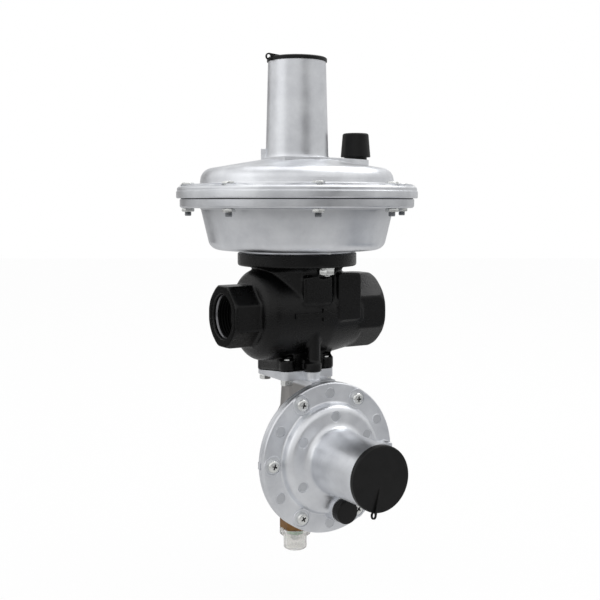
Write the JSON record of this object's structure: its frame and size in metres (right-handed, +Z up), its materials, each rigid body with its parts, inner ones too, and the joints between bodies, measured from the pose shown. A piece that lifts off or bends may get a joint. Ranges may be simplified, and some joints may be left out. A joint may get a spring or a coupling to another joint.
{
  "type": "gas pressure regulator with safety shut-off",
  "caption": "Spring-loaded diaphragm gas regulator on a screwed iron body, with a safety shut-off module, capped adjusters and a clear position cap.",
  "frame": {"origin": "centre of the inlet port's face, on the pipe axis", "axes": "+X with the gas flow from inlet to outlet, +Z up along the spring tower, the shut-off module's cover faces -Y"},
  "size_m": [0.178, 0.2007, 0.367],
  "materials": {
    "black_iron": "black enamel over sand casting",
    "cast_aluminium": "satin die casting",
    "zinc_steel": "bright zinc plate",
    "turned_steel": "turned",
    "spring_steel": "oiled wire",
    "rubber": "matt",
    "black_plastic": "fine moulded",
    "brass": "machined, dulled",
    "clear_plastic": "clear moulded",
    "green_plastic": "moulded"
  },
  "bodies": {
    "root": {"valve_body": "black_iron", "seat_orifice": "brass", "stem_guide": "turned_steel", "lever_pin": "turned_steel", "body_seal": "rubber", "casing_screws": "zinc_steel", "lower_casing": "cast_aluminium", "main_diaphragm": "rubber", "control_spring": "spring_steel", "upper_casing": "cast_aluminium", "casing_bolts": "zinc_steel", "casing_nuts": "zinc_steel", "vent_cap": "black_plastic", "vent_screen": "turned_steel", "module_body": "cast_aluminium", "module_seal": "rubber", "module_bolts": "zinc_steel", "shutoff_spring": "spring_steel", "trip_lever_pin": "turned_steel", "module_diaphragm": "rubber", "trip_spring": "spring_steel", "module_cover": "cast_aluminium", "cover_screws": "zinc_steel", "module_vent_cap": "black_plastic", "reset_bushing": "brass"},
    "top_cap": {"closing_cap": "black_plastic"},
    "spring_seat": {"upper_spring_seat": "zinc_steel"},
    "adjuster": {"adjusting_screw": "zinc_steel"},
    "diaphragm_head": {"lower_plate": "zinc_steel", "upper_plate": "zinc_steel", "pusher_post": "turned_steel", "post_nut": "zinc_steel"},
    "lever": {"valve_lever": "zinc_steel"},
    "valve": {"valve_stem": "turned_steel", "valve_disk": "rubber"},
    "side_cap": {"module_closing_cap": "black_plastic"},
    "trip_seat": {"trip_spring_seat": "zinc_steel"},
    "trip_screw": {"trip_adjuster": "zinc_steel"},
    "trip_head": {"trip_post": "turned_steel", "trip_back_plate": "zinc_steel", "trip_front_plate": "zinc_steel", "trip_nut": "zinc_steel"},
    "trip_crank": {"trip_lever": "zinc_steel"},
    "shutoff": {"shutoff_plug": "turned_steel", "shutoff_pad": "rubber", "shutoff_stem": "turned_steel", "position_indicator": "green_plastic"},
    "sight_cap": {"clear_cap": "clear_plastic"}
  },
  "joints": [
    {"name": "cap_lift", "type": "slide", "parent": "root", "child": "top_cap", "axis": [0, 0, 1], "range_m": [0, 0.025]},
    {"name": "spring_adjust", "type": "slide", "parent": "root", "child": "spring_seat", "axis": [0, 0, -1], "range_m": [-0.009, 0.012], "deforming": ["control_spring"]},
    {"name": "adjuster_turn", "type": "hinge", "parent": "spring_seat", "child": "adjuster", "pos_m": [0.0624, 0, 0.16], "axis": [0, 0, 1], "range_deg": [-2165, 1625]},
    {"name": "head_stroke", "type": "slide", "parent": "root", "child": "diaphragm_head", "axis": [0, 0, 1], "range_m": [0, 0.006], "stiffness_N_per_m": 1500, "deforming": ["main_diaphragm", "control_spring"]},
    {"name": "lever_swing", "type": "hinge", "parent": "root", "child": "lever", "pos_m": [0.0919, 0, 0.021], "axis": [0, 1, 0], "range_deg": [0, 11.7]},
    {"name": "valve_stroke", "type": "slide", "parent": "root", "child": "valve", "axis": [-1, 0, 0], "range_m": [0, 0.0043]},
    {"name": "side_cap_pull", "type": "slide", "parent": "root", "child": "side_cap", "axis": [0, -1, 0], "range_m": [0, 0.025]},
    {"name": "trip_adjust", "type": "slide", "parent": "root", "child": "trip_seat", "axis": [0, 1, 0], "range_m": [-0.004, 0.008], "deforming": ["trip_spring"]},
    {"name": "trip_adjuster_turn", "type": "hinge", "parent": "trip_seat", "child": "trip_screw", "pos_m": [0.0624, -0.0923, -0.0991], "axis": [0, -1, 0], "range_deg": [-1925, 965]},
    {"name": "trip_stroke", "type": "slide", "parent": "root", "child": "trip_head", "axis": [0, -1, 0], "range_m": [-0.0025, 0.0025], "stiffness_N_per_m": 3000, "deforming": ["module_diaphragm", "trip_spring"]},
    {"name": "trip_crank_swing", "type": "hinge", "parent": "root", "child": "trip_crank", "pos_m": [0.0624, -0.016, -0.0841], "axis": [1, 0, 0], "range_deg": [-9.6, 9.6]},
    {"name": "shutoff_stroke", "type": "slide", "parent": "root", "child": "shutoff", "axis": [0, 0, 1], "range_m": [0, 0.0129], "deforming": ["shutoff_spring"]},
    {"name": "sight_cap_pull", "type": "slide", "parent": "root", "child": "sight_cap", "axis": [0, 0, -1], "range_m": [0, 0.02]}
  ],
  "couplings": [
    {"joint": "adjuster_turn", "follows": "spring_adjust", "rad_per_m": -3141.6},
    {"joint": "lever_swing", "follows": "head_stroke", "rad_per_m": 33.898},
    {"joint": "valve_stroke", "follows": "head_stroke", "ratio": 0.71186},
    {"joint": "trip_adjuster_turn", "follows": "trip_adjust", "rad_per_m": -4188.8},
    {"joint": "trip_crank_swing", "follows": "trip_stroke", "rad_per_m": -66.667}
  ]
}
